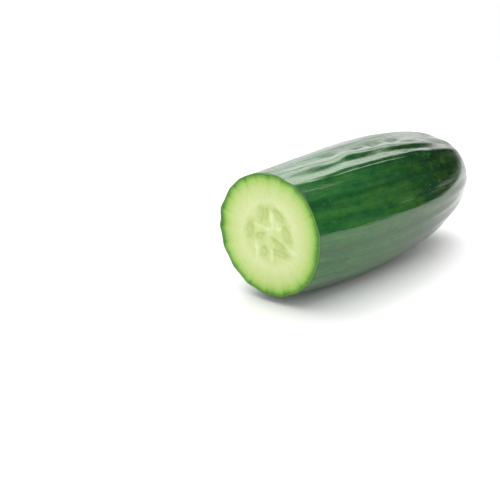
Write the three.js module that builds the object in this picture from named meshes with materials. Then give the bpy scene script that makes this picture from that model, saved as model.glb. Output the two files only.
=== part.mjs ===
// A cucumber cut across, lying on its side: one closed body, in millimetres, +Z up.
// The flat cut end faces -X and the blossom end points to +X. The body rests on a small
// flat spot under its weight. The origin is at the bottom centre of the body's box.
// Angles round the body are in degrees, from the -Y side (0) up over the top (90).

import * as THREE from "three";
import { toCreasedNormals } from "three/addons/utils/BufferGeometryUtils.js";

// Body: how long it is, and how thick without its ribs
const LENGTH = 120.4;
const CUT_RADIUS = 23.45;
const SWELL = 0.31;
const EASE = 0.1;
const DOME_POWER = 3.08;
const DOME_ROUNDNESS = 0.484;

// The body's middle line bows towards -Y and sags, and its far end leans and droops
const BOW = 1.5;
const SAG = 1.7;
const END_LEAN = 2;
const END_DROOP = 1.85;

// Ribs from end to end: angle at the cut, height at the cut and at the far end, half width
const RIBS = [
  [-157, 0.5, 0.5, 7],
  [-136, 0.45, 0.6, 6],
  [-116, 0.5, 0.5, 7],
  [-96, 0.5, 0.6, 7],
  [-76, 0.5, 0.45, 7],
  [-56, 0.3, 0.9, 6],
  [-36, 0.3, 0.1, 7],
  [-13, 0.1, 0.5, 6],
  [12.5, 0.4, 0.5, 6],
  [28, 0.1, 0.15, 8],
  [48, 0.5, 0.1, 26],
  [47, 0.2, 0.1, 8],
  [63.5, 0.5, 0.3, 5],
  [81, 0.4, 0.5, 5.5],
  [106, 0.1, 0.8, 8],
  [127, 0.25, 1.1, 7],
  [143, 0.3, 0.5, 6],
  [167, 0.7, 0.5, 7],
  [184, 0.6, 0.6, 5],
];
const RIB_TWIST = -14;
const RIB_FADE_POWER = 12;

// Single ridges of the side in view: fraction along, angle, height and half width by turns
const SINGLE_RIDGES = [
  [
    [0.02, 75.1, 0, 6.5],
    [0.06, 76.3, 0.47, 6.5],
    [0.1, 75.3, 0.67, 6.5],
    [0.15, 74.2, 1.05, 6.5],
    [0.2, 72.6, 1.05, 6.5],
    [0.255, 73.4, 0.8, 6],
    [0.3, 75.2, 1.1, 6.5],
    [0.36, 72.6, 0.92, 6.5],
    [0.43, 70.9, 0.5, 5.5],
    [0.52, 68.5, 0.65, 4.5],
    [0.6, 65.4, 0.8, 4],
    [0.68, 64.1, 0.5, 4],
    [0.8, 62.4, 0, 4],
  ],
  [
    [0.08, 62.7, 0, 4],
    [0.14, 61, 0.4, 4],
    [0.21, 63.3, 0.27, 4],
    [0.26, 64.7, 0.38, 4],
    [0.33, 62.4, 0.33, 4],
    [0.41, 61.8, 0.29, 4],
    [0.5, 59.5, 0.35, 4],
    [0.56, 56.6, 0.75, 4],
    [0.62, 54.4, 0.7, 4],
    [0.68, 52, 0.3, 4],
    [0.76, 50.8, 0.1, 4],
    [0.88, 51, 0, 4],
  ],
  [
    [0.05, -9, 0, 4.5],
    [0.15, -9.5, 0.25, 4.5],
    [0.35, -9.5, 0.35, 4.5],
    [0.6, -9, 0.35, 4.5],
    [0.75, -8.5, 0.25, 4.5],
    [0.85, -9, 0, 4.5],
  ],
];

// Blossom scar: a shallow dimple with a low corky knob in its middle
const SCAR_DEPTH = 1.1;
const SCAR_RADIUS = 3.6;
const KNOB_HEIGHT = 0.7;
const KNOB_RADIUS = 1.5;

// Height of the table below the middle of the cut: the belly is pressed flat there
const TABLE_DEPTH = 26.8;

// Cut face: a sunk seed chamber with three lobes, and seeds that rise from it
const CHAMBER_RADIUS = 11.6;
const CHAMBER_LOBES = 0.9;
const CHAMBER_TURN = 80;
const CHAMBER_DEPTH = 0.5;
const CHAMBER_EDGE = 2.4;
const SEED_RISE = 0.42;

// Seeds: place across and up on the face, direction in degrees, length, width
const SEEDS = [
  [-9.3, 0, 88, 6.6, 3.2],
  [-4.1, 7.2, 86, 5.8, 2.5],
  [-1.7, 8, 88, 4.6, 1.7],
  [4.2, 8, -42, 6, 2.8],
  [8, 1.6, -65, 6.8, 3.6],
  [-4.6, -1.2, 28, 4.6, 2.2],
  [4.2, -2.9, -27, 7, 1.9],
  [5.2, -6.3, -8, 6.6, 2.2],
  [-2.4, -6.9, 80, 3.8, 3],
];

// Mesh: points round the skin, rings along it, and rings on the cut face
const POINTS_ROUND = 144;
const SKIN_RINGS = 25;
const FACE_RINGS = POINTS_ROUND / 8;
const CHAMBER_RINGS = 14;

const FULL_TURN = 360;

/** A bell curve of height 1 whose value falls to 1/e at the distance width. */
function bell(distance, width) {
  return Math.exp(-((distance / width) ** 2));
}

/** The difference between two angles in degrees, from -180 to 180. */
function turnBetween(a, b) {
  return THREE.MathUtils.euclideanModulo(a - b + FULL_TURN / 2, FULL_TURN) - FULL_TURN / 2;
}

/** Radius of the body without ribs, at the fraction t from the cut to the blossom end. */
function bodyRadius(t) {
  const swelling = 1 + SWELL * t - EASE * t * t;
  const dome = Math.max(1 - t ** DOME_POWER, 0) ** DOME_ROUNDNESS;
  return CUT_RADIUS * swelling * dome;
}

/** Slope at the k-th point of a row of points in one item, level at both ends. */
function slopeAt(points, k, item) {
  if (k === 0 || k === points.length - 1) {
    return 0;
  }
  const before = points[k][0] - points[k - 1][0];
  const after = points[k + 1][0] - points[k][0];
  const fall = (points[k][item] - points[k - 1][item]) / before;
  const rise = (points[k + 1][item] - points[k][item]) / after;
  return (after * fall + before * rise) / (before + after);
}

/** A smooth curve through points: cubic pieces, level at both ends and held beyond them. */
function throughPoints(t, points, item) {
  let k = 0;
  while (k < points.length - 2 && t >= points[k + 1][0]) {
    k += 1;
  }
  const step = points[k + 1][0] - points[k][0];
  const s = THREE.MathUtils.clamp((t - points[k][0]) / step, 0, 1);
  const start = (1 + 2 * s) * (1 - s) ** 2 * points[k][item];
  const end = s * s * (3 - 2 * s) * points[k + 1][item];
  const bend = (1 - s) * slopeAt(points, k, item) - s * slopeAt(points, k + 1, item);
  return start + end + step * s * (1 - s) * bend;
}

/** Height of the single ridges, whose place, height and width follow points along the body. */
function singleRidgeHeight(t, angle) {
  let height = 0;
  for (const points of SINGLE_RIDGES) {
    const away = turnBetween(angle, throughPoints(t, points, 1));
    height += throughPoints(t, points, 2) * bell(away, throughPoints(t, points, 3));
  }
  return height;
}

/** Height of the ribs at t and the angle round the body. They turn a little and fade out. */
function ribHeight(t, angle) {
  let height = 0;
  for (const [start, cutHeight, endHeight, width] of RIBS) {
    const away = turnBetween(angle, start + RIB_TWIST * t);
    height += THREE.MathUtils.lerp(cutHeight, endHeight, t) * bell(away, width);
  }
  return height * (1 - t ** RIB_FADE_POWER);
}

/** How far the blossom end is pushed in at the distance from its middle. */
function scarDepth(distance) {
  return SCAR_DEPTH * bell(distance, SCAR_RADIUS) - KNOB_HEIGHT * bell(distance, KNOB_RADIUS);
}

/** A point of the skin, with the belly pressed flat where it rests. */
function skinPoint(t, angle) {
  const phi = THREE.MathUtils.degToRad(angle);
  const radius = bodyRadius(t) + ribHeight(t, angle) + singleRidgeHeight(t, angle);
  const bend = 4 * t * (1 - t);
  const y = -radius * Math.cos(phi) - BOW * bend - END_LEAN * t ** 3;
  const z = radius * Math.sin(phi) - SAG * bend - END_DROOP * t ** 3;
  const scar = t > 0.5 ? scarDepth(radius) : 0;
  return new THREE.Vector3(LENGTH * t - scar, y, Math.max(z, -TABLE_DEPTH));
}

/** Depth of the cut face behind the knife's plane: the seed chamber less its seeds. */
function faceDepth(across, up) {
  const distance = Math.hypot(across, up);
  const angle = THREE.MathUtils.radToDeg(Math.atan2(up, across));
  const lobes = CHAMBER_LOBES * Math.cos(THREE.MathUtils.degToRad(3 * (angle - CHAMBER_TURN)));
  const edge = CHAMBER_RADIUS + lobes;
  const inside = THREE.MathUtils.smoothstep(edge - distance, -CHAMBER_EDGE, CHAMBER_EDGE);
  let rise = 0;
  for (const [seedAcross, seedUp, direction, length, width] of SEEDS) {
    const turn = THREE.MathUtils.degToRad(direction);
    const right = across - seedAcross;
    const above = up - seedUp;
    const along = (right * Math.cos(turn) + above * Math.sin(turn)) / (length / 2);
    const aside = (above * Math.cos(turn) - right * Math.sin(turn)) / (width / 2);
    rise = Math.max(rise, SEED_RISE * bell(Math.hypot(along, aside) ** 2, 1));
  }
  return Math.max(CHAMBER_DEPTH * inside - rise, 0);
}

/** A point of the cut face, at the fraction out from its middle to the skin's edge. */
function facePoint(out, angle) {
  const edge = skinPoint(0, angle);
  const y = edge.y * out;
  const z = edge.z * out;
  return new THREE.Vector3(faceDepth(-y, z), y, z);
}

/** A closed ring of points from a function of the angle round the body. */
function ring(count, pointAt) {
  return Array.from({ length: count }, (_, k) => pointAt((FULL_TURN * k) / count));
}

/** Rings over the cut face, from its middle point out to just inside its edge. */
function faceRings() {
  const rings = [[facePoint(0, 0)]];
  const chamber = (CHAMBER_RADIUS + CHAMBER_LOBES) / CUT_RADIUS;
  for (let k = 1; k < FACE_RINGS; k += 1) {
    const inChamber = (chamber * k) / CHAMBER_RINGS;
    const pastChamber = (k - CHAMBER_RINGS) / (FACE_RINGS - CHAMBER_RINGS);
    const out = k <= CHAMBER_RINGS ? inChamber : chamber + (1 - chamber) * pastChamber;
    rings.push(ring(8 * k, (angle) => facePoint(out, angle)));
  }
  return rings;
}

/** Rings along the skin, closer together towards the blossom end, then its last point. */
function skinRings() {
  const rings = [];
  for (let k = 0; k < SKIN_RINGS; k += 1) {
    const t = Math.sin((Math.PI / 2) * (k / SKIN_RINGS));
    rings.push(ring(POINTS_ROUND, (angle) => skinPoint(t, angle)));
  }
  rings.push([skinPoint(1, 0)]);
  return rings;
}

/** Triangles between two neighbouring rings, each given by its first index and its size. */
function zipRings(near, far, triangles) {
  const nearSteps = near.size > 1 ? near.size : 0;
  const farSteps = far.size > 1 ? far.size : 0;
  let i = 0;
  let j = 0;
  while (i < nearSteps || j < farSteps) {
    const a = near.first + (i % near.size);
    const b = far.first + (j % far.size);
    const farNext = nearSteps === 0 || (j + 1) / farSteps <= (i + 1) / nearSteps;
    if (farSteps > 0 && farNext) {
      j += 1;
      triangles.push(a, b, far.first + (j % far.size));
    } else {
      i += 1;
      triangles.push(a, b, near.first + (i % near.size));
    }
  }
}

/** The closed body: its rings in order, from the middle of the cut face to the blossom end. */
function cucumberGeometry() {
  const positions = [];
  const triangles = [];
  let last = null;
  for (const points of [...faceRings(), ...skinRings()]) {
    const next = { first: positions.length / 3, size: points.length };
    for (const point of points) {
      positions.push(point.x, point.y, point.z);
    }
    if (last) {
      zipRings(last, next, triangles);
    }
    last = next;
  }
  const geometry = new THREE.BufferGeometry();
  geometry.setAttribute("position", new THREE.Float32BufferAttribute(positions, 3));
  geometry.setIndex(triangles);
  geometry.computeBoundingBox();
  const middle = geometry.boundingBox.getCenter(new THREE.Vector3());
  geometry.translate(-middle.x, -middle.y, -geometry.boundingBox.min.z);
  return toCreasedNormals(geometry, Math.PI / 4);
}

const skin = new THREE.MeshStandardMaterial({ color: 0x2b6626, roughness: 0.3, metalness: 0 });
const cucumber = new THREE.Mesh(cucumberGeometry(), skin);
cucumber.name = "cucumber";

const part = new THREE.Group();
part.add(cucumber);

export default part;
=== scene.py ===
"""A cut cucumber lying on a pale table: ribbed waxy skin, and a moist cut face with seeds.

Lengths are in millimetres until a mesh is made, and then in metres. Angles round the body
are in degrees, from the -Y side (0) up over the top (90).
"""

import math

import bpy
import numpy as np
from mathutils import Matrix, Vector


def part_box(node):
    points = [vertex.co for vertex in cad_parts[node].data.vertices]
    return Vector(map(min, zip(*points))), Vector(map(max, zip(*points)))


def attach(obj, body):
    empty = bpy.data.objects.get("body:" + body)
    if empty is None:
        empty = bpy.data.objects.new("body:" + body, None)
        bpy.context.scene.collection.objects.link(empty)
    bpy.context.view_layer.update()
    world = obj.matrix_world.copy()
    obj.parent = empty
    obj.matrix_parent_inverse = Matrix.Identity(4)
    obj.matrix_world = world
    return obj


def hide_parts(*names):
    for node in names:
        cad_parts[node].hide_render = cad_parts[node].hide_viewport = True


MM = 0.001

# Body: how long it is, and how thick without its ribs
LENGTH = 120.4
CUT_RADIUS = 23.45
SWELL = 0.31
EASE = 0.1
DOME_POWER = 3.08
DOME_ROUNDNESS = 0.484

# The body's middle line bows towards -Y and sags, and its far end leans and droops
BOW = 1.5
SAG = 1.7
END_LEAN = 2.0
END_DROOP = 1.85
TABLE_DEPTH = 26.8

# Ribs from end to end: angle at the cut, height at the cut and at the far end, half width
RIBS = [
    (-157, 0.5, 0.5, 7),
    (-136, 0.45, 0.6, 6),
    (-116, 0.5, 0.5, 7),
    (-96, 0.5, 0.6, 7),
    (-76, 0.5, 0.45, 7),
    (-56, 0.3, 0.9, 6),
    (-36, 0.3, 0.1, 7),
    (-13, 0.1, 0.5, 6),
    (12.5, 0.4, 0.5, 6),
    (28, 0.1, 0.15, 8),
    (48, 0.5, 0.1, 26),
    (47, 0.2, 0.1, 8),
    (63.5, 0.5, 0.3, 5),
    (81, 0.4, 0.5, 5.5),
    (106, 0.1, 0.8, 8),
    (127, 0.25, 1.1, 7),
    (143, 0.3, 0.5, 6),
    (167, 0.7, 0.5, 7),
    (184, 0.6, 0.6, 5),
]
RIB_TWIST = -14
RIB_FADE_POWER = 12

# Single ridges of the side in view. Each is a list of points along the body: fraction along,
# angle, height, half width
SINGLE_RIDGES = [
    [
        (0.02, 75.1, 0.0, 6.5), (0.06, 76.3, 0.47, 6.5), (0.1, 75.3, 0.67, 6.5),
        (0.15, 74.2, 1.05, 6.5), (0.2, 72.6, 1.05, 6.5), (0.255, 73.4, 0.8, 6),
        (0.3, 75.2, 1.1, 6.5), (0.36, 72.6, 0.92, 6.5), (0.43, 70.9, 0.5, 5.5),
        (0.52, 68.5, 0.65, 4.5), (0.6, 65.4, 0.8, 4), (0.68, 64.1, 0.5, 4), (0.8, 62.4, 0.0, 4),
    ],
    [
        (0.08, 62.7, 0.0, 4), (0.14, 61, 0.4, 4), (0.21, 63.3, 0.27, 4), (0.26, 64.7, 0.38, 4),
        (0.33, 62.4, 0.33, 4), (0.41, 61.8, 0.29, 4), (0.5, 59.5, 0.35, 4), (0.56, 56.6, 0.75, 4),
        (0.62, 54.4, 0.7, 4), (0.68, 52, 0.3, 4), (0.76, 50.8, 0.1, 4), (0.88, 51, 0.0, 4),
    ],
    [
        (0.03, 61, 0.0, 0.8), (0.08, 60, 0.15, 0.8), (0.14, 58.4, 0.2, 0.8),
        (0.24, 57.6, 0.2, 0.8), (0.33, 56.6, 0.2, 0.8), (0.43, 55.2, 0.21, 0.8),
        (0.52, 53.3, 0.23, 0.8), (0.64, 49.8, 0.24, 0.8), (0.74, 47.5, 0.0, 0.8),
    ],
    [
        (0.2, 11.5, 0.0, 4), (0.35, 10, 0.12, 4), (0.5, 9, 0.25, 4), (0.65, 9, 0.25, 4),
        (0.75, 12, 0.25, 4), (0.85, 15, 0.0, 4),
    ],
    [
        (0.05, -9, 0.0, 4.5), (0.15, -9.5, 0.25, 4.5), (0.35, -9.5, 0.35, 4.5),
        (0.6, -9, 0.35, 4.5), (0.75, -8.5, 0.25, 4.5), (0.85, -9, 0.0, 4.5),
    ],
]

# Dents of the upper side: fraction along, angle, depth, half length, half width
DENTS = [
    (0.26, 82, 0.25, 0.05, 6),
    (0.38, 80, 0.32, 0.025, 3.2),
    (0.465, 79, 0.52, 0.028, 3.2),
    (0.56, 77.5, 0.55, 0.028, 3.2),
    (0.71, 72, 0.32, 0.03, 3.2),
]

# Small ridges and dents over the whole skin. Each range is what a value is drawn from: the
# place of the middle and the half length along the body, the height, and the half width
SEED_OF_DRAWS = 11
SMALL_RIDGES = 110
RIDGE_MIDDLE, RIDGE_REACH = (0, 0.9), (0.12, 0.4)
RIDGE_RISE, RIDGE_WIDTH = (0.015, 0.05), (0.8, 2.2)
SMALL_DENTS = 130
DENT_MIDDLE, DENT_REACH = (0, 0.95), (0.03, 0.09)
DENT_RISE, DENT_WIDTH = (-0.12, 0.08), (2.0, 5.0)

# The smooth side: its angle at the cut, its half width, and the share of small ridges it lacks
SMOOTH_ANGLE = 38
SMOOTH_WIDTH = 34
SMOOTHNESS = 0.95

# Darker lines along the skin: angle at the cut, half width. They turn half as far as the ribs
DARK_LINES = [(39, 2.2), (-4, 3.2), (98, 3), (152, 2.5), (-158, 3), (-104, 2.2), (-52, 2.5)]
LINE_TWIST = -7

# Blossom scar: a shallow dimple with a low corky knob in its middle
SCAR_DEPTH = 1.1
SCAR_RADIUS = 3.6
KNOB_HEIGHT = 0.7
KNOB_RADIUS = 1.5

# Skin: its thickness, the small round of its cut edge, and how far along its inner wall goes
SKIN_THICKNESS = 0.45
EDGE_ROUND = 0.04
INNER_END = 0.94

# Flesh: its gap to the skin at the cut and behind it, where its wall starts, how far it goes
INNER_GAP = 0.04
WALL_GAP = 0.1
WALL_START = 0.0005
WALL_END = 0.93

# Cut face: a sunk seed chamber with three lobes, seeds that rise from it, and small lumps
CHAMBER_RADIUS = 11.6
CHAMBER_LOBES = 0.9
CHAMBER_TURN = 80
CHAMBER_DEPTH = 0.5
CHAMBER_EDGE = 2.4
SEED_RISE = 0.42
PULP_LUMPS = 90
LUMP_RISE = (-0.09, 0.09)
LUMP_WIDTH = (0.5, 1.5)

# Seeds: place across and up on the face, direction in degrees, length, width
SEEDS = [
    (-9.3, 0, 88, 6.6, 3.2),
    (-4.1, 7.2, 86, 5.8, 2.5),
    (-1.7, 8.0, 88, 4.6, 1.7),
    (4.2, 8.0, -42, 6, 2.8),
    (8.0, 1.6, -65, 6.8, 3.6),
    (-4.6, -1.2, 28, 4.6, 2.2),
    (4.2, -2.9, -27, 7.0, 1.9),
    (5.2, -6.3, -8, 6.6, 2.2),
    (-2.4, -6.9, 80, 3.8, 3.0),
]

# Pale walls between the seeds: from across and up, to across and up, half width
PALE_WALLS = [
    (1.0, 3.0, 0.8, 11.0, 0.7),
    (-1.0, 2.0, 6.0, 3.6, 0.7),
    (-1.0, 1.8, -7.5, 3.0, 0.6),
    (-6.8, -2.5, -6.0, -9.0, 0.8),
    (0.8, -5.0, 1.2, -10.0, 0.8),
    (8.0, -3.2, 12.5, -5.0, 0.9),
]

# Green strands that run in from the skin: angle, length, half width
STRANDS = [
    (0, 0.8, 24), (182, 0.9, 18), (-33, 0.4, 3), (-8, 0.3, 3), (14, 0.5, 2), (32, 0.4, 1.5),
    (58, 0.3, 2), (76, 0.4, 2), (91, 0.8, 2), (107, 0.5, 2), (121, 0.9, 1.8),
    (137, 0.5, 1.6), (150, 0.4, 2), (165, 0.5, 2.5), (181, 0.4, 3), (199, 0.5, 3),
    (226, 0.5, 2), (247, 0.7, 2), (268, 0.5, 2), (290, 0.6, 2.5), (312, 0.5, 2),
]
SMALL_STRANDS = 120
SMALL_STRAND_LENGTH = (0.03, 0.25)
SMALL_STRAND_WIDTH = (0.4, 1.4)

# Meshes: points round, and rings along the skin and over the face
SKIN_ROUND = 720
SKIN_RINGS = 116
WALL_RINGS = 8
FACE_ROUND = 480
FACE_RINGS = 150

# Stage, in metres. Lamps: spot, target, width, height, glow
TABLE_RADIUS = 0.36
LAMPS = {
    "softbox_low_behind": ((1.07, 1.15, -0.02), (0, 0, 0), 2.2, 0.32, 0.62),
    "softbox_behind": ((1.07, 1.15, 0.36), (0, 0, 0), 2.3, 0.46, 1.9),
    "softbox_high_behind": ((0.8, 0.8, 1.13), (0, 0, 0), 1.9, 0.8, 4.2),
    "softbox_overhead": ((0, 0, 1.5), (0, 0, 0), 2.4, 2.4, 1.4),
    "softbox_left": ((-1.1, -0.5, 1.0), (0, 0, 0.03), 1.2, 1.2, 0.75),
    "softbox_fill": ((0.55, -1.15, 0.6), (0, 0, 0.02), 1.4, 1.0, 1.1),
}
UNMIRRORED_LAMPS = ("softbox_fill",)

# How bright the room is as light, where the skin mirrors it, and to the camera
ROOM_LIGHT = 0.54
ROOM_MIRRORED = 0.03
ROOM_SEEN = 1.0

# Camera: where it stands from the middle of the cut, and where it looks
CAMERA_SPOT = (-403.72, -326.77, 188.33)
CAMERA_TURN = 39.76
CAMERA_DROP = 20.5
LENS = 108


def bell(distance, width):
    """A bell curve of height 1 whose value falls to 1/e at the distance width."""
    return np.exp(-((distance / width) ** 2))


def smooth_step(value, low, high):
    """0 below low, 1 above high, and a smooth S between them."""
    share = np.clip((value - low) / (high - low), 0, 1)
    return share * share * (3 - 2 * share)


def turn_between(a, b):
    """The difference between two angles in degrees, from -180 to 180."""
    return (a - b + 180) % 360 - 180


def body_radius(t):
    """Radius without ribs: the cut's radius times a swelling parabola times a blunt dome."""
    swelling = 1 + SWELL * t - EASE * t * t
    return CUT_RADIUS * swelling * np.clip(1 - t**DOME_POWER, 0, 1) ** DOME_ROUNDNESS


def rib_height(t, angle):
    """Ribs: bell curves round the body, whose centres turn a little and which fade out."""
    height = 0
    for start, cut_height, end_height, width in RIBS:
        away = turn_between(angle, start + RIB_TWIST * t)
        height = height + (cut_height + (end_height - cut_height) * t) * bell(away, width)
    return height * (1 - t**RIB_FADE_POWER)


def through_points(t, place, value):
    """A smooth curve through points: cubic pieces, level at both ends and held beyond them."""
    slope = np.gradient(value, place)
    slope[[0, -1]] = 0
    k = np.clip(np.searchsorted(place, t, "right") - 1, 0, len(place) - 2)
    step = place[k + 1] - place[k]
    s = np.clip((t - place[k]) / step, 0, 1)
    ends = (1 + 2 * s) * (1 - s) ** 2 * value[k] + s * s * (3 - 2 * s) * value[k + 1]
    return ends + step * s * (1 - s) * ((1 - s) * slope[k] - s * slope[k + 1])


def single_relief(t, angle):
    """Single ridges: bells round the body whose place and height follow points along it.

    The dents are bells in both directions, and they go in.
    """
    height = 0
    for ridge in SINGLE_RIDGES:
        place, centre, rise, width = np.array(ridge).T
        away = turn_between(angle, through_points(t, place, centre))
        width = through_points(t, place, width)
        height = height + through_points(t, place, rise) * bell(away, width)
    for middle, centre, depth, reach, width in DENTS:
        height = height - depth * bell(t - middle, reach) * bell(turn_between(angle, centre), width)
    return height


def small_relief(t, angle):
    """Many faint ridges and dents: long narrow bells at random places, some up, some down.

    The ridges are multiplied by 1 less a wide bell round the smooth side, which turns with
    the ribs.
    """
    draw = np.random.default_rng(SEED_OF_DRAWS)
    height = 0
    from_smooth = turn_between(angle, SMOOTH_ANGLE + RIB_TWIST * t)
    rough = 1 - SMOOTHNESS * bell(from_smooth, SMOOTH_WIDTH)
    for _ in range(SMALL_RIDGES):
        away = turn_between(angle, draw.uniform(-180, 180) + RIB_TWIST * t)
        middle, reach = draw.uniform(*RIDGE_MIDDLE), draw.uniform(*RIDGE_REACH)
        rise, width = draw.uniform(*RIDGE_RISE), draw.uniform(*RIDGE_WIDTH)
        height = height + rough * rise * bell(away, width) * bell(t - middle, reach)
    for _ in range(SMALL_DENTS):
        away = turn_between(angle, draw.uniform(-180, 180) + RIB_TWIST * t)
        middle, reach = draw.uniform(*DENT_MIDDLE), draw.uniform(*DENT_REACH)
        rise, width = draw.uniform(*DENT_RISE), draw.uniform(*DENT_WIDTH)
        height = height + rise * bell(away, width) * bell(t - middle, reach)
    return height * (1 - t**RIB_FADE_POWER)


def dark_lines(t, angle):
    """Share of the darker lines at a place: the greatest of bells round the body."""
    share = 0
    for start, width in DARK_LINES:
        share = np.maximum(share, bell(turn_between(angle, start + LINE_TWIST * t), width))
    return share * (1 - t**RIB_FADE_POWER)


def scar_depth(distance):
    """Blossom end: a bell-shaped dimple with a smaller bell-shaped knob in it."""
    return SCAR_DEPTH * bell(distance, SCAR_RADIUS) - KNOB_HEIGHT * bell(distance, KNOB_RADIUS)


def body_points(t, angle, relief, depth=0.0):
    """Points at t along and angle round the body, on the skin or a depth below it.

    The radius is the body's plus the ribs and the relief, less the depth. The middle line is
    a parabola that bows and sags, with a cubic lean and droop. The belly is cut off flat at
    the table.
    """
    phi = np.radians(angle)
    radius = np.maximum(body_radius(t) + rib_height(t, angle) + relief - depth, 0)
    bend = 4 * t * (1 - t)
    x = LENGTH * t - np.where(t > 0.5, scar_depth(radius), 0)
    y = -radius * np.cos(phi) - BOW * bend - END_LEAN * t**3
    z = radius * np.sin(phi) - SAG * bend - END_DROOP * t**3
    return np.stack([x, y, np.maximum(z, depth - TABLE_DEPTH)], -1)


def row_shift():
    """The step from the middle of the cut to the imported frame, in millimetres."""
    low, high = (np.array(corner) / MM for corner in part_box("cucumber"))
    t, angle = np.meshgrid(np.linspace(0, 1, 90), np.arange(0, 360, 1.5), indexing="ij")
    body = body_points(t, angle, 0)
    middle = (body[..., 1].min() + body[..., 1].max()) / 2
    return np.array([low[0], (low[1] + high[1]) / 2 - middle, TABLE_DEPTH])


def closed_grid(name, first, rings, last):
    """A closed mesh from a first point, a grid of rings that go round, and a last point."""
    count, around = rings.shape[:2]
    points = np.concatenate([first[None], rings.reshape(-1, 3), last[None]]) * MM
    a = 1 + np.arange(around)
    b = 1 + (np.arange(around) + 1) % around
    start = np.arange(count - 1)[:, None] * around
    quads = np.stack([a + start, a + start + around, b + start + around, b + start], -1)
    end = (count - 1) * around
    top = np.full(around, len(points) - 1)
    first_fan = np.stack([np.zeros_like(a), a, b], -1)
    fans = np.concatenate([first_fan, np.stack([a + end, top, b + end], -1)])
    mesh = bpy.data.meshes.new(name)
    mesh.from_pydata(points.tolist(), [], quads.reshape(-1, 4).tolist() + fans.tolist())
    mesh.polygons.foreach_set("use_smooth", np.ones(len(mesh.polygons), bool))
    mesh.update()
    piece = bpy.data.objects.new(name, mesh)
    bpy.context.scene.collection.objects.link(piece)
    return piece


def point_value(piece, name, first, rings, last):
    """Stores one number, or one vector, for each point of a closed grid as an attribute."""
    rings = np.asarray(rings, float)
    if rings.ndim == 2:
        values = np.concatenate([[first], rings.ravel(), [last]])
        layer = piece.data.attributes.new(name, "FLOAT", "POINT")
        layer.data.foreach_set("value", values.astype(np.float32))
    else:
        values = np.concatenate([[first], rings.reshape(-1, 3), [last]])
        layer = piece.data.attributes.new(name, "FLOAT_VECTOR", "POINT")
        layer.data.foreach_set("vector", values.ravel().astype(np.float32))


def skin_shell(shift):
    """The skin: a thin closed shell, from inside the blossom end, round the cut edge, and out.

    Its profile runs along the inner wall to the cut, over the cut edge with a small quarter
    round, and along the outside to the blossom end. Each ring of it goes round the body.
    """
    inside = np.sin(np.linspace(INNER_END, 0, WALL_RINGS) * math.pi / 2)
    outside = np.sin(np.linspace(0, 1, SKIN_RINGS + 1)[1:-1] * math.pi / 2)
    quarter = np.radians([0, 22, 45, 68, 90])
    round_t = EDGE_ROUND * (1 - np.cos(quarter)) / LENGTH
    round_depth = EDGE_ROUND * (1 - np.sin(quarter))
    rim_depth = np.linspace(SKIN_THICKNESS, EDGE_ROUND, 5)[1:-1]
    t = np.concatenate([inside, np.zeros(3), round_t, outside])
    wall_depth = np.full(WALL_RINGS, SKIN_THICKNESS)
    depth = np.concatenate([wall_depth, rim_depth, round_depth, 0 * outside])
    angle = np.arange(SKIN_ROUND) * 360 / SKIN_ROUND
    t_grid, angle_grid = np.meshgrid(t, angle, indexing="ij")
    relief = single_relief(t_grid, angle_grid) + small_relief(t_grid, angle_grid)
    rings = body_points(t_grid, angle_grid, relief, depth[:, None]) + shift
    first = rings[0].mean(0)
    last = body_points(np.array(1.0), np.array(0.0), 0) + shift
    piece = closed_grid("cucumber_skin", first, rings, last)
    turn = np.radians(angle_grid - RIB_TWIST * t_grid)
    grain = np.stack([np.cos(turn), np.sin(turn), t_grid], -1)
    point_value(piece, "grain", (0, 0, t[0]), grain, (0, 0, 1))
    point_value(piece, "depth", SKIN_THICKNESS, np.broadcast_to(depth[:, None], t_grid.shape), 0)
    point_value(piece, "along", t[0], t_grid, 1)
    point_value(piece, "line", 0, dark_lines(t_grid, angle_grid), 0)
    return piece


def chamber_share(across, up):
    """How far a point of the face is inside the three-lobed seed chamber, from 0 to 1."""
    angle = np.degrees(np.arctan2(up, across))
    edge = CHAMBER_RADIUS + CHAMBER_LOBES * np.cos(np.radians(3 * (angle - CHAMBER_TURN)))
    return smooth_step(edge - np.hypot(across, up), -CHAMBER_EDGE, CHAMBER_EDGE)


def seed_reach(across, up):
    """How far out a point lies from the nearest seed: 0 at its middle, 1 on its oval outline."""
    reach = 99.0
    for seed_across, seed_up, direction, length, width in SEEDS:
        turn = np.radians(direction)
        right, above = across - seed_across, up - seed_up
        along = (right * np.cos(turn) + above * np.sin(turn)) / (length / 2)
        aside = (above * np.cos(turn) - right * np.sin(turn)) / (width / 2)
        reach = np.minimum(reach, np.hypot(along, aside))
    return reach


def pulp_lumps(across, up):
    """Small lumps and pits of the seed chamber: bells at random places."""
    draw = np.random.default_rng(SEED_OF_DRAWS + 1)
    height = 0
    for _ in range(PULP_LUMPS):
        out, turn = CHAMBER_RADIUS * np.sqrt(draw.uniform()), draw.uniform(0, 2 * np.pi)
        away = np.hypot(across - out * np.cos(turn), up - out * np.sin(turn))
        height = height + draw.uniform(*LUMP_RISE) * bell(away, draw.uniform(*LUMP_WIDTH))
    return height


def wall_share(across, up):
    """How near a point is to a pale wall: a bell of its distance from the wall's line."""
    share = 0
    for from_across, from_up, to_across, to_up, width in PALE_WALLS:
        step = np.array([to_across - from_across, to_up - from_up])
        place = ((across - from_across) * step[0] + (up - from_up) * step[1]) / (step @ step)
        place = np.clip(place, 0, 1)
        away = np.hypot(across - from_across - place * step[0], up - from_up - place * step[1])
        share = np.maximum(share, bell(away, width))
    return share


def strand_length(angle):
    """How far the green strands run in at an angle: narrow bells, some given and many random."""
    draw = np.random.default_rng(SEED_OF_DRAWS + 2)
    length = 0
    for centre, reach, width in STRANDS:
        length = length + reach * bell(turn_between(angle, centre), width)
    for _ in range(SMALL_STRANDS):
        away = turn_between(angle, draw.uniform(-180, 180))
        reach = draw.uniform(*SMALL_STRAND_LENGTH)
        length = length + reach * bell(away, draw.uniform(*SMALL_STRAND_WIDTH))
    return length


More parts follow.
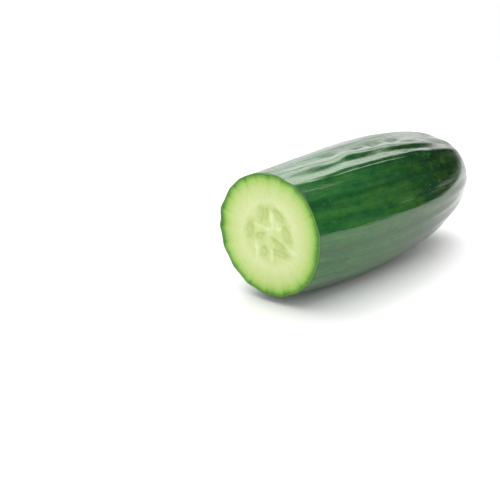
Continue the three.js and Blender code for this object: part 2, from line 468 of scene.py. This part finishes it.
def flesh_body(shift):
    """The flesh: a closed body inside the skin, whose cut face has the chamber and seeds.

    The face is a disc of rings, from its middle out to the skin. Its depth is the chamber's
    less the seeds' and the lumps'. Behind it the wall follows the skin's inner side.
    """
    out = np.linspace(0, 1, FACE_RINGS + 1)[1:]
    angle = np.arange(FACE_ROUND) * 360 / FACE_ROUND
    under = SKIN_THICKNESS + INNER_GAP
    relief = single_relief(0 * angle, angle) + small_relief(0 * angle, angle)
    edge = body_points(np.zeros_like(angle), angle, relief, under)
    across = -edge[None, :, 1] * out[:, None]
    up = edge[None, :, 2] * out[:, None]
    chamber, seed = chamber_share(across, up), seed_reach(across, up)
    sunk = (CHAMBER_DEPTH - pulp_lumps(across, up)) * chamber - SEED_RISE * bell(seed**2, 1)
    face = np.stack([np.maximum(sunk, 0), -across, up], -1)
    wall_t = np.sin(np.linspace(0, WALL_END, WALL_RINGS)[1:] * math.pi / 2)
    wall_t = np.concatenate([[WALL_START], wall_t])
    t_grid, angle_grid = np.meshgrid(wall_t, angle, indexing="ij")
    wall = body_points(t_grid, angle_grid, 0, under + WALL_GAP)
    rings = np.concatenate([face, wall]) + shift
    middle = np.array([CHAMBER_DEPTH, 0, 0]) + shift
    piece = closed_grid("cucumber_flesh", middle, rings, rings[-1].mean(0))
    reach = np.hypot(edge[:, 1], edge[:, 2])
    rim = reach * (1 - out[:, None]) + SKIN_THICKNESS
    none = np.zeros_like(t_grid)
    point_value(piece, "rim", reach.mean(), np.concatenate([rim, none]), 0)
    strands = np.broadcast_to(strand_length(angle), rim.shape)
    point_value(piece, "strands", 0, np.concatenate([strands, none]), 0)
    point_value(piece, "chamber", 1, np.concatenate([chamber, none]), 0)
    point_value(piece, "seed", 2, np.concatenate([seed, none + 9]), 9)
    point_value(piece, "wall", 0, np.concatenate([wall_share(across, up), none]), 0)
    turn = np.radians(np.broadcast_to(angle, rim.shape))
    spokes = np.stack([np.cos(turn), np.sin(turn), out[:, None] + 0 * turn], -1)
    wall_spokes = np.zeros((*t_grid.shape, 3))
    point_value(piece, "spokes", (1, 0, 0), np.concatenate([spokes, wall_spokes]), (0, 0, 0))
    return piece


def srgb(red, green, blue):
    """A colour given from 0 to 255 as seen, turned into the linear values of a shader."""
    shares = np.array([red, green, blue]) / 255
    linear = np.where(shares <= 0.04045, shares / 12.92, ((shares + 0.055) / 1.055) ** 2.4)
    return (*linear.tolist(), 1.0)


def grey(value):
    """An even grey of a linear value."""
    return (value, value, value, 1.0)


def new_material(name):
    """A material with nodes, and its node tree and its one surface shader."""
    material = bpy.data.materials.new(name)
    material.use_nodes = True
    tree = material.node_tree
    return material, tree, tree.nodes["Principled BSDF"]


def attribute(tree, name, vector=False):
    """A point attribute's value or vector."""
    node = tree.nodes.new("ShaderNodeAttribute")
    node.attribute_name = name
    return node.outputs["Vector" if vector else "Fac"]


def stretched(tree, source, scale):
    """A vector with each of its parts scaled, so that a noise on it is drawn out."""
    node = tree.nodes.new("ShaderNodeMapping")
    node.inputs["Scale"].default_value = scale
    tree.links.new(source, node.inputs["Vector"])
    return node.outputs["Vector"]


def object_place(tree, scale):
    """The place on the object in metres, scaled."""
    node = tree.nodes.new("ShaderNodeTexCoord")
    return stretched(tree, node.outputs["Object"], scale)


def noise(tree, place, scale, detail=3.0, roughness=0.5):
    """A noise from 0 to 1 at a place."""
    node = tree.nodes.new("ShaderNodeTexNoise")
    node.inputs["Scale"].default_value = scale
    node.inputs["Detail"].default_value = detail
    node.inputs["Roughness"].default_value = roughness
    tree.links.new(place, node.inputs["Vector"])
    return node.outputs["Fac"]


def math_node(tree, operation, a, b):
    """One sum on two sockets or numbers."""
    node = tree.nodes.new("ShaderNodeMath")
    node.operation = operation
    for socket, value in zip(node.inputs, (a, b)):
        if isinstance(value, (int, float)):
            socket.default_value = value
        else:
            tree.links.new(value, socket)
    return node.outputs["Value"]


def ramp(tree, source, stops):
    """Colours along a value: stops are pairs of a place and a colour."""
    node = tree.nodes.new("ShaderNodeValToRGB")
    elements = node.color_ramp.elements
    while len(elements) < len(stops):
        elements.new(0.5)
    for element, (place, colour) in zip(elements, stops):
        element.position = place
        element.color = colour
    tree.links.new(source, node.inputs["Fac"])
    return node.outputs["Color"]


def rescale(tree, source, low, high, new_low=0.0, new_high=1.0):
    """A value from low to high, moved to run from new_low to new_high, and held there."""
    node = tree.nodes.new("ShaderNodeMapRange")
    node.inputs["From Min"].default_value = low
    node.inputs["From Max"].default_value = high
    node.inputs["To Min"].default_value = new_low
    node.inputs["To Max"].default_value = new_high
    tree.links.new(source, node.inputs["Value"])
    return node.outputs["Result"]


def blend(tree, share, a, b, mode="MIX"):
    """Two colours mixed by a share, which is a socket or a number."""
    node = tree.nodes.new("ShaderNodeMix")
    node.data_type = "RGBA"
    node.blend_type = mode
    for socket, value in ((node.inputs[0], share), (node.inputs[6], a), (node.inputs[7], b)):
        if isinstance(value, (int, float, tuple)):
            socket.default_value = value
        else:
            tree.links.new(value, socket)
    return node.outputs[2]


def bump(tree, height, strength, distance, under=None):
    """A bump from a height, on top of another bump if one is given."""
    node = tree.nodes.new("ShaderNodeBump")
    node.inputs["Strength"].default_value = strength
    node.inputs["Distance"].default_value = distance
    tree.links.new(height, node.inputs["Height"])
    if under is not None:
        tree.links.new(under, node.inputs["Normal"])
    return node.outputs["Normal"]


def waxy_skin():
    """Dark green waxy skin: long streaks and blotches, darker towards the blossom end.

    Darker lines run along it, and its gloss is duller at the blossom end. Under the surface,
    where the cut shows it, it is the light green of the rind.
    """
    material, tree, shader = new_material("waxy_green_skin")
    grain = attribute(tree, "grain", vector=True)
    along = attribute(tree, "along")
    streaks = noise(tree, stretched(tree, grain, (11, 11, 3)), 1.0, 5, 0.62)
    blotches = noise(tree, stretched(tree, grain, (4, 4, 9)), 1.0, 5, 0.6)
    clouds = noise(tree, stretched(tree, grain, (9, 9, 26)), 1.0, 4, 0.62)
    specks = noise(tree, object_place(tree, (900, 900, 900)), 1.0, 2, 0.5)
    uneven = rescale(tree, streaks, 0.35, 0.65, 0.25, 0.8)
    lines = math_node(tree, "MULTIPLY", attribute(tree, "line"), uneven)
    cut_end = ramp(tree, streaks, [
        (0.3, srgb(22, 73, 38)),
        (0.5, srgb(33, 89, 41)),
        (0.7, srgb(54, 105, 43)),
    ])
    far_end = ramp(tree, streaks, [
        (0.3, srgb(7, 18, 7)),
        (0.5, srgb(12, 26, 10)),
        (0.7, srgb(21, 38, 13)),
    ])
    body = blend(tree, rescale(tree, along, 0.2, 0.7), cut_end, far_end)
    body = blend(tree, rescale(tree, blotches, 0.45, 0.68, 0.0, 0.55), body, srgb(52, 97, 38))
    body = blend(tree, rescale(tree, blotches, 0.5, 0.3, 0.0, 0.5), body, srgb(20, 70, 44))
    body = blend(tree, rescale(tree, clouds, 0.52, 0.75, 0.0, 0.4), body, srgb(66, 106, 55))
    body = blend(tree, rescale(tree, clouds, 0.48, 0.25, 0.0, 0.5), body, srgb(14, 52, 24))
    body = blend(tree, lines, body, srgb(20, 58, 26))
    body = blend(tree, rescale(tree, specks, 0.66, 0.74, 0.0, 0.25), body, srgb(96, 140, 72))
    depth = attribute(tree, "depth")
    rind = blend(tree, rescale(tree, depth, 0.05, 0.16), body, srgb(78, 138, 34))
    rind = blend(tree, rescale(tree, depth, 0.18, 0.42), rind, srgb(112, 168, 48))
    tree.links.new(rind, shader.inputs["Base Color"])
    patchy = rescale(tree, blotches, 0.3, 0.7, 0.08, 0.14)
    patchy = math_node(tree, "ADD", patchy, rescale(tree, along, 0.84, 0.97, 0.0, 0.3))
    rough = blend(tree, rescale(tree, depth, 0.02, 0.12), patchy, grey(0.5))
    tree.links.new(rough, shader.inputs["Roughness"])
    wrinkles = noise(tree, stretched(tree, grain, (34, 34, 9)), 1.0, 5, 0.62)
    pores = noise(tree, object_place(tree, (1300, 1300, 1300)), 1.0, 2, 0.5)
    relief = bump(tree, wrinkles, 0.3, 0.0004)
    relief = bump(tree, pores, 0.1, 0.0001, relief)
    tree.links.new(relief, shader.inputs["Normal"])
    shader.inputs["IOR"].default_value = 1.5
    shader.inputs["Specular Tint"].default_value = (0.93, 1.0, 0.84, 1)
    shader.inputs["Coat Weight"].default_value = 0.12
    shader.inputs["Coat Roughness"].default_value = 0.06
    return material


def moist_flesh():
    """Cut flesh: green strands under the skin, palest half way in, and moist green seeds."""
    material, tree, shader = new_material("moist_cut_flesh")
    chamber = attribute(tree, "chamber")
    spoke_place = stretched(tree, attribute(tree, "spokes", vector=True), (22, 22, 2.5))
    spokes = noise(tree, spoke_place, 1.0, 4, 0.6)
    ragged = noise(tree, object_place(tree, (700, 700, 700)), 1.0, 3, 0.6)
    soft = noise(tree, object_place(tree, (260, 260, 260)), 1.0, 3, 0.5)
    deep = math_node(tree, "SUBTRACT", attribute(tree, "rim"), attribute(tree, "strands"))
    deep = math_node(tree, "ADD", deep, rescale(tree, spokes, 0.3, 0.7, -0.22, 0.22))
    flesh = ramp(tree, rescale(tree, deep, 0.0, 14.0), [
        (0.0, srgb(64, 120, 34)),
        (0.05, srgb(96, 150, 45)),
        (0.09, srgb(121, 170, 60)),
        (0.13, srgb(143, 187, 79)),
        (0.18, srgb(161, 197, 97)),
        (0.25, srgb(176, 204, 112)),
        (0.36, srgb(191, 211, 132)),
        (0.57, srgb(203, 217, 148)),
        (0.8, srgb(213, 223, 165)),
        (1.0, srgb(208, 220, 156)),
    ])
    pulp = ramp(tree, soft, [(0.3, srgb(193, 210, 134)), (0.7, srgb(211, 222, 157))])
    surface = blend(tree, chamber, flesh, pulp)
    uneven = rescale(tree, ragged, 0.3, 0.7, -0.16, 0.16)
    reach = math_node(tree, "ADD", attribute(tree, "seed"), uneven)
    near = rescale(tree, reach, 1.9, 0.9, 0.0, 0.7)
    surface = blend(tree, near, surface, srgb(189, 205, 126))
    patchy = rescale(tree, soft, 0.35, 0.6, 0.2, 0.8)
    wall = math_node(tree, "MULTIPLY", attribute(tree, "wall"), patchy)
    surface = blend(tree, wall, surface, srgb(226, 234, 185))
    seed = ramp(tree, rescale(tree, reach, 0.0, 1.2), [
        (0.0, srgb(192, 206, 136)),
        (0.45, srgb(187, 203, 128)),
        (0.7, srgb(184, 200, 120)),
        (0.83, srgb(188, 204, 127)),
        (1.0, srgb(194, 210, 136)),
    ])
    surface = blend(tree, rescale(tree, reach, 1.25, 0.95), surface, seed)
    tree.links.new(surface, shader.inputs["Base Color"])
    tree.links.new(rescale(tree, ragged, 0.3, 0.7, 0.22, 0.45), shader.inputs["Roughness"])
    grains = noise(tree, object_place(tree, (1500, 1500, 1500)), 1.0, 3, 0.6)
    relief = bump(tree, spokes, 0.25, 0.0003)
    relief = bump(tree, grains, 0.25, 0.0002, relief)
    tree.links.new(relief, shader.inputs["Normal"])
    shader.inputs["IOR"].default_value = 1.4
    shader.inputs["Subsurface Weight"].default_value = 0.25
    shader.inputs["Subsurface Radius"].default_value = (0.0025, 0.0025, 0.001)
    shader.inputs["Subsurface Scale"].default_value = 1.0
    return material


def build_cucumber(shift):
    """The skin and the flesh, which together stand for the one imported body."""
    skin = skin_shell(shift)
    flesh = flesh_body(shift)
    skin.data.materials.append(waxy_skin())
    flesh.data.materials.append(moist_flesh())
    for piece, slot in ((skin, "skin"), (flesh, "flesh")):
        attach(piece, "root")
        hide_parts("cucumber")


def build_table():
    """A small round white table top. The room past its edge is as white to the camera."""
    bpy.ops.mesh.primitive_circle_add(vertices=192, radius=TABLE_RADIUS, fill_type="NGON")
    table = bpy.context.object
    table.name = "table_top"
    material, _, shader = new_material("plain_white")
    shader.inputs["Base Color"].default_value = grey(0.88)
    shader.inputs["Roughness"].default_value = 0.9
    shader.inputs["Specular IOR Level"].default_value = 0.1
    table.data.materials.append(material)


def softbox(name, spot, target, width, height, glow):
    """A rectangular lamp at a spot, turned to a target, whose face has an even glow."""
    lamp = bpy.data.lights.new(name, "AREA")
    lamp.shape = "RECTANGLE"
    lamp.size, lamp.size_y = width, height
    lamp.energy = glow * math.pi * width * height
    holder = bpy.data.objects.new(name, lamp)
    holder.location = spot
    holder.visible_camera = False
    aim = Vector(target) - Vector(spot)
    holder.rotation_euler = aim.to_track_quat("-Z", "Y").to_euler()
    bpy.context.scene.collection.objects.link(holder)
    return holder


def build_light():
    """Three softboxes behind at different heights, one overhead, one on the left, and a fill.

    The fill lamp stands on the right in front, and the skin doesn't mirror it. The room gives
    an even light, but its walls are nearly black where the skin mirrors them, and white to
    the camera past the table's edge.
    """
    for name, (spot, target, width, height, glow) in LAMPS.items():
        lamp = softbox(name, spot, target, width, height, glow)
        lamp.visible_glossy = name not in UNMIRRORED_LAMPS
    room = bpy.data.worlds.new("dim_room")
    room.use_nodes = True
    tree = room.node_tree
    ray = tree.nodes.new("ShaderNodeLightPath").outputs
    colour = blend(tree, ray["Is Glossy Ray"], grey(ROOM_LIGHT), grey(ROOM_MIRRORED))
    colour = blend(tree, ray["Is Camera Ray"], colour, grey(ROOM_SEEN))
    tree.links.new(colour, tree.nodes["Background"].inputs["Color"])
    bpy.context.scene.world = room
    bpy.context.scene.view_settings.view_transform = "Standard"


def build_camera(shift):
    """A long lens that looks down at the cut face and along the body."""
    camera = bpy.data.cameras.new("camera")
    camera.lens = LENS
    holder = bpy.data.objects.new("camera", camera)
    holder.location = Vector(shift + np.array(CAMERA_SPOT)) * MM
    turn, drop = math.radians(CAMERA_TURN), math.radians(CAMERA_DROP)
    level = math.cos(drop)
    ahead = Vector((math.cos(turn) * level, math.sin(turn) * level, -math.sin(drop)))
    holder.rotation_euler = ahead.to_track_quat("-Z", "Y").to_euler()
    bpy.context.scene.collection.objects.link(holder)
    bpy.context.scene.camera = holder


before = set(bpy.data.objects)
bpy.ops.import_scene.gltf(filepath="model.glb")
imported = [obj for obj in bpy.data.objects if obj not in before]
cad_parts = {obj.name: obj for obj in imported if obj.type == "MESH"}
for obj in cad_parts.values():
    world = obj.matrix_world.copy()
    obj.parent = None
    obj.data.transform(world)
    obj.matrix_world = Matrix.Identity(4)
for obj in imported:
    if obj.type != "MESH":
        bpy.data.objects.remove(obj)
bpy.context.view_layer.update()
body_shift = row_shift()
build_camera(body_shift)
build_light()
build_table()
build_cucumber(body_shift)
